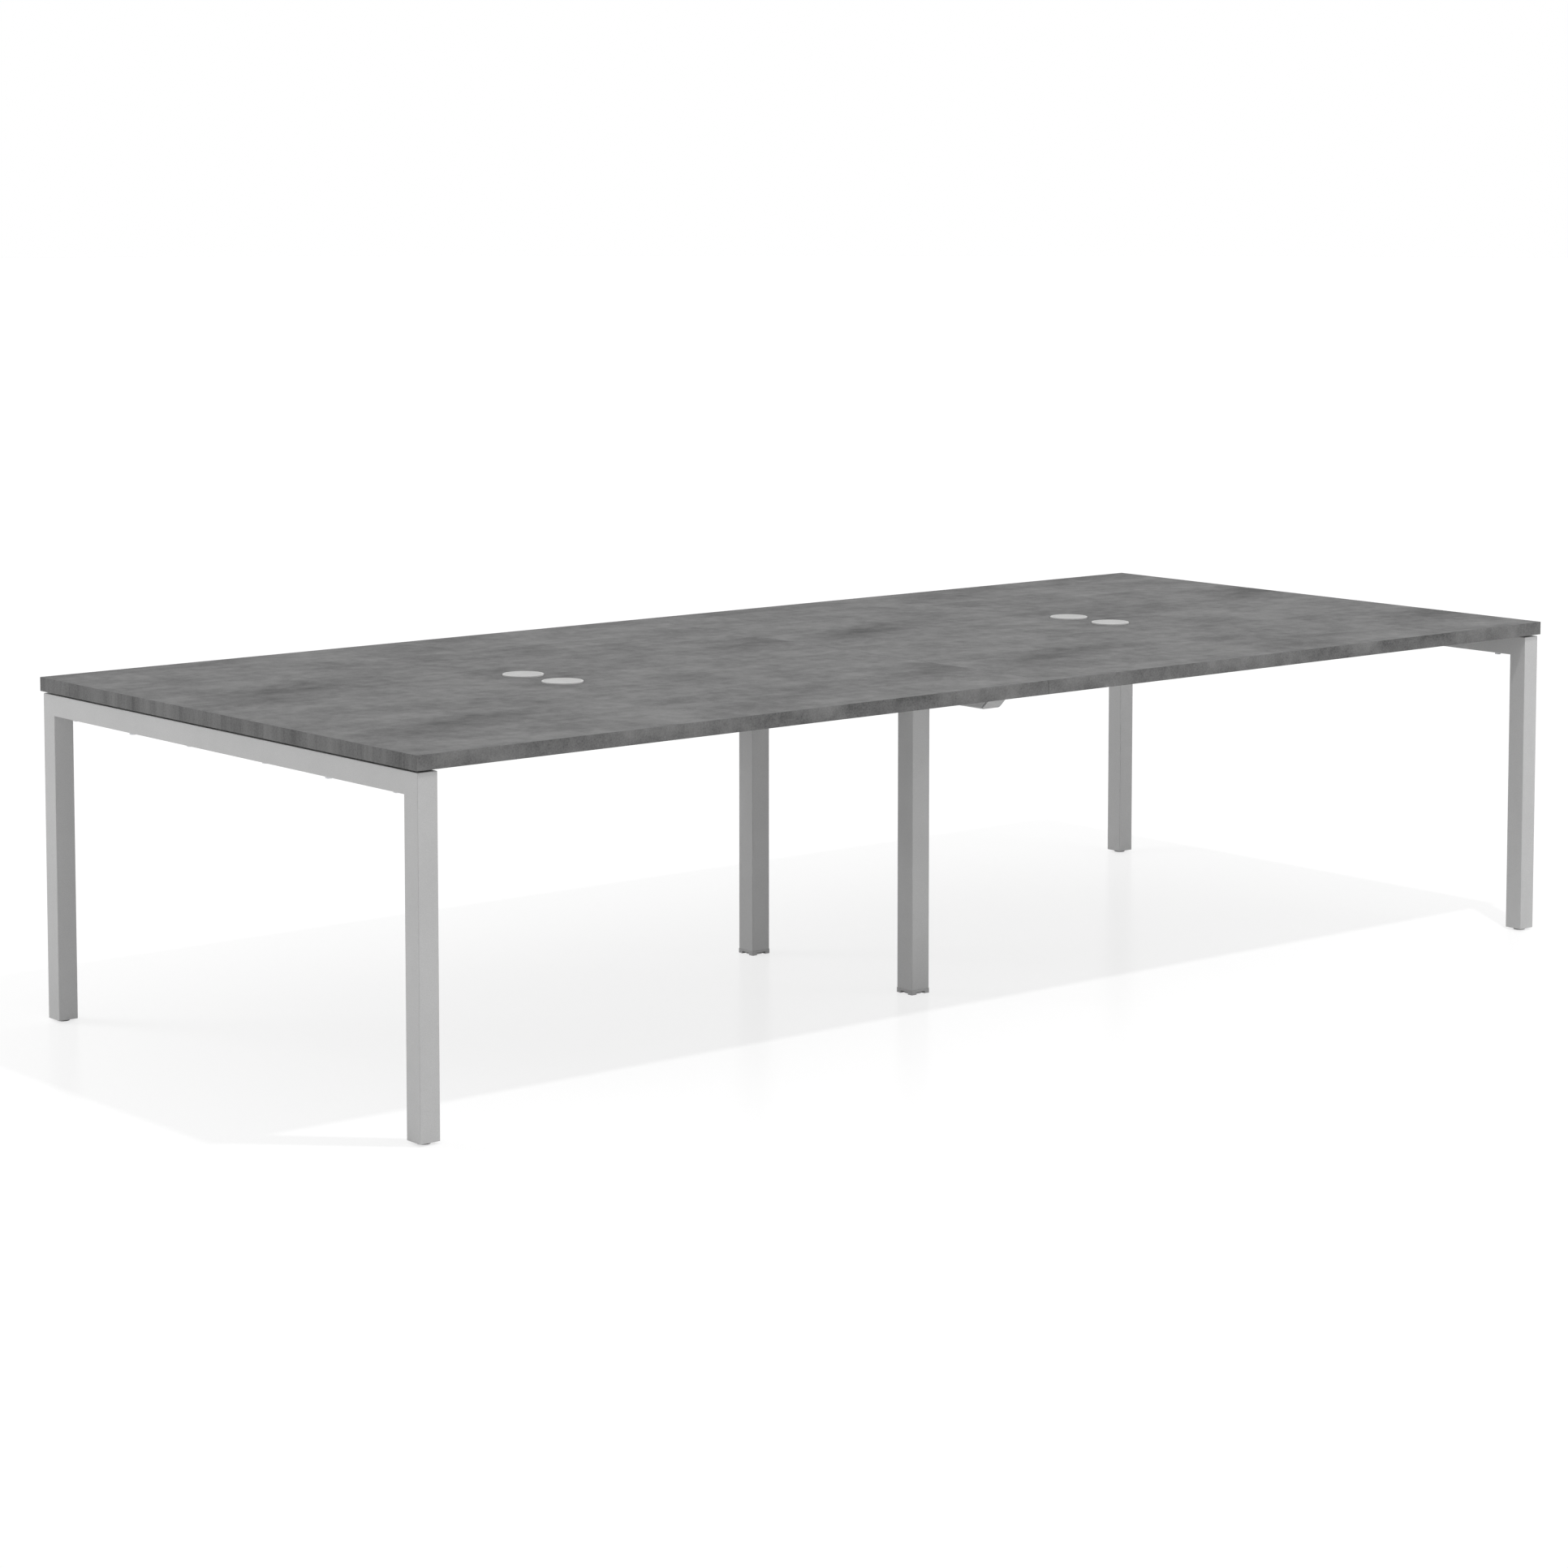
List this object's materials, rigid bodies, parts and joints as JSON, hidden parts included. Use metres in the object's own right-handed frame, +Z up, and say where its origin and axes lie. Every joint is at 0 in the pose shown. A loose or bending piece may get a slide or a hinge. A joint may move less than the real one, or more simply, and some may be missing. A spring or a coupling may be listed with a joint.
{
  "type": "conference table",
  "caption": "Long conference table with a concrete-look top in halves, square-tube end frames, a middle trestle with a slant-cut cross beam, levelling glides and round cable grommets.",
  "frame": {"origin": "on the floor, under the middle of the table", "axes": "+X along the length, +Y across the width towards the rear, +Z up"},
  "size_m": [3.2, 1.4, 0.7381],
  "materials": {
    "concrete_board": "board with a matt concrete-look laminate, mottled grey with fine pits and streaks",
    "silver_frame": "silver-grey powder coat, satin, fine texture",
    "glide_plastic": "grey moulded plastic",
    "cap_plastic": "grey moulded plastic, near the frame's colour",
    "black_plastic": "black moulded plastic",
    "grommet_plastic": "pale grey moulded plastic, satin",
    "zinc_steel": "bright zinc plated"
  },
  "bodies": {
    "table": {"top_board_left": "concrete_board", "left_end_rail": "silver_frame", "left_front_leg": "silver_frame", "left_front_leg_insert": "black_plastic", "left_front_stretcher": "silver_frame", "left_front_stretcher_bolt": "zinc_steel", "left_front_seam_bolt": "zinc_steel", "left_front_grommet_liner": "grommet_plastic", "left_rear_leg": "silver_frame", "left_rear_leg_insert": "black_plastic", "left_rear_stretcher": "silver_frame", "left_rear_stretcher_bolt": "zinc_steel", "left_rear_seam_bolt": "zinc_steel", "left_rear_grommet_liner": "grommet_plastic", "board_spacer_left_1": "black_plastic", "board_bolt_left_1": "zinc_steel", "board_spacer_left_2": "black_plastic", "board_bolt_left_2": "zinc_steel", "board_spacer_left_3": "black_plastic", "board_bolt_left_3": "zinc_steel", "board_spacer_left_4": "black_plastic", "board_bolt_left_4": "zinc_steel", "top_board_right": "concrete_board", "right_end_rail": "silver_frame", "right_front_leg": "silver_frame", "right_front_leg_insert": "black_plastic", "right_front_stretcher": "silver_frame", "right_front_stretcher_bolt": "zinc_steel", "right_front_seam_bolt": "zinc_steel", "right_front_grommet_liner": "grommet_plastic", "right_rear_leg": "silver_frame", "right_rear_leg_insert": "black_plastic", "right_rear_stretcher": "silver_frame", "right_rear_stretcher_bolt": "zinc_steel", "right_rear_seam_bolt": "zinc_steel", "right_rear_grommet_liner": "grommet_plastic", "board_spacer_right_1": "black_plastic", "board_bolt_right_1": "zinc_steel", "board_spacer_right_2": "black_plastic", "board_bolt_right_2": "zinc_steel", "board_spacer_right_3": "black_plastic", "board_bolt_right_3": "zinc_steel", "board_spacer_right_4": "black_plastic", "board_bolt_right_4": "zinc_steel", "cross_beam": "silver_frame", "mid_front_leg": "silver_frame", "mid_front_foot_cap": "cap_plastic", "cross_beam_front_cap": "cap_plastic", "mid_rear_leg": "silver_frame", "mid_rear_foot_cap": "cap_plastic", "cross_beam_rear_cap": "cap_plastic", "seam_strip": "black_plastic"},
    "left_front_glide": {"left_front_glide": "glide_plastic"},
    "left_front_grommet_lid": {"left_front_grommet_lid": "grommet_plastic"},
    "left_rear_glide": {"left_rear_glide": "glide_plastic"},
    "left_rear_grommet_lid": {"left_rear_grommet_lid": "grommet_plastic"},
    "right_front_glide": {"right_front_glide": "glide_plastic"},
    "right_front_grommet_lid": {"right_front_grommet_lid": "grommet_plastic"},
    "right_rear_glide": {"right_rear_glide": "glide_plastic"},
    "right_rear_grommet_lid": {"right_rear_grommet_lid": "grommet_plastic"}
  },
  "joints": [
    {"name": "left_front_glide_screw", "type": "slide", "parent": "table", "child": "left_front_glide", "axis": [0, 0, -1], "range_m": [0, 0.012]},
    {"name": "left_rear_glide_screw", "type": "slide", "parent": "table", "child": "left_rear_glide", "axis": [0, 0, -1], "range_m": [0, 0.012]},
    {"name": "right_front_glide_screw", "type": "slide", "parent": "table", "child": "right_front_glide", "axis": [0, 0, -1], "range_m": [0, 0.012]},
    {"name": "right_rear_glide_screw", "type": "slide", "parent": "table", "child": "right_rear_glide", "axis": [0, 0, -1], "range_m": [0, 0.012]},
    {"name": "left_front_lid_lift", "type": "slide", "parent": "table", "child": "left_front_grommet_lid", "axis": [0, 0, 1], "range_m": [0, 0.06]},
    {"name": "left_rear_lid_lift", "type": "slide", "parent": "table", "child": "left_rear_grommet_lid", "axis": [0, 0, 1], "range_m": [0, 0.06]},
    {"name": "right_front_lid_lift", "type": "slide", "parent": "table", "child": "right_front_grommet_lid", "axis": [0, 0, 1], "range_m": [0, 0.06]},
    {"name": "right_rear_lid_lift", "type": "slide", "parent": "table", "child": "right_rear_grommet_lid", "axis": [0, 0, 1], "range_m": [0, 0.06]}
  ]
}
